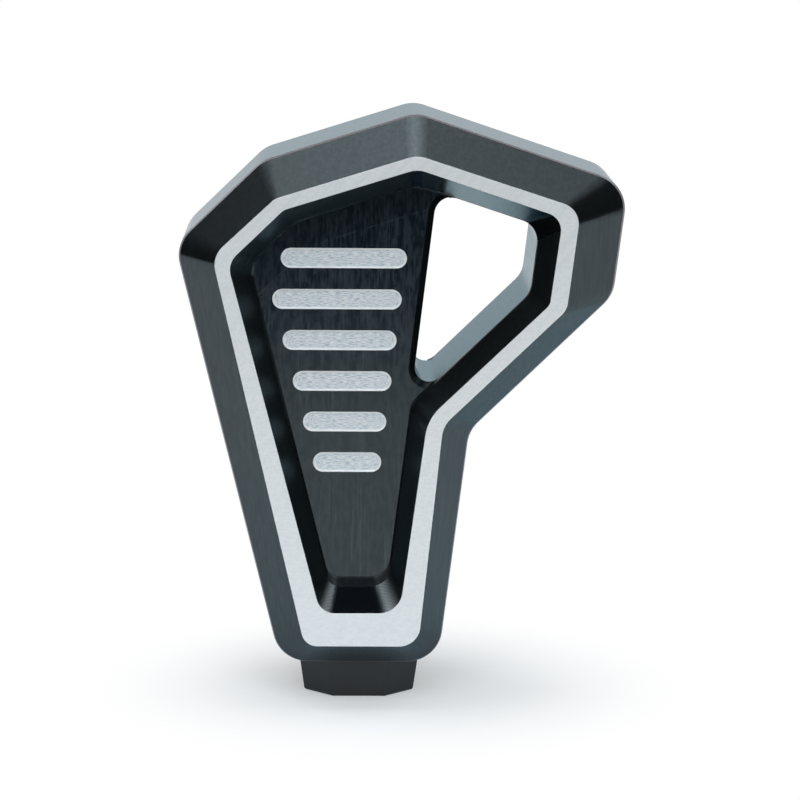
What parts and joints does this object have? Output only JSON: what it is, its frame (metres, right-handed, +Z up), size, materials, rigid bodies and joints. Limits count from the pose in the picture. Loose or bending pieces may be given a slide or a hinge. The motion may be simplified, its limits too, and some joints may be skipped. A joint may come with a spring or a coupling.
{
  "type": "gear shift knob",
  "caption": "Milled aluminium gear shift knob with chamfered outline, pocketed faces, finger opening and blind lever bore locked by a grub screw.",
  "frame": {"origin": "centre of the lever bore's mouth, on the collar's flat foot", "axes": "+Z up the lever bore, towards the top of the grip; +X across the grip towards the finger opening; +Y through the thickness, away from the driver's face"},
  "size_m": [0.0751, 0.0382, 0.1013],
  "materials": {
    "anodised_aluminium": "black anodised, fine milled satin, with bright milled face bands and floor bars",
    "screw_steel": "black oxide"
  },
  "bodies": {
    "root": {"knob_body": "anodised_aluminium", "grub_screw": "screw_steel"}
  },
  "joints": []
}
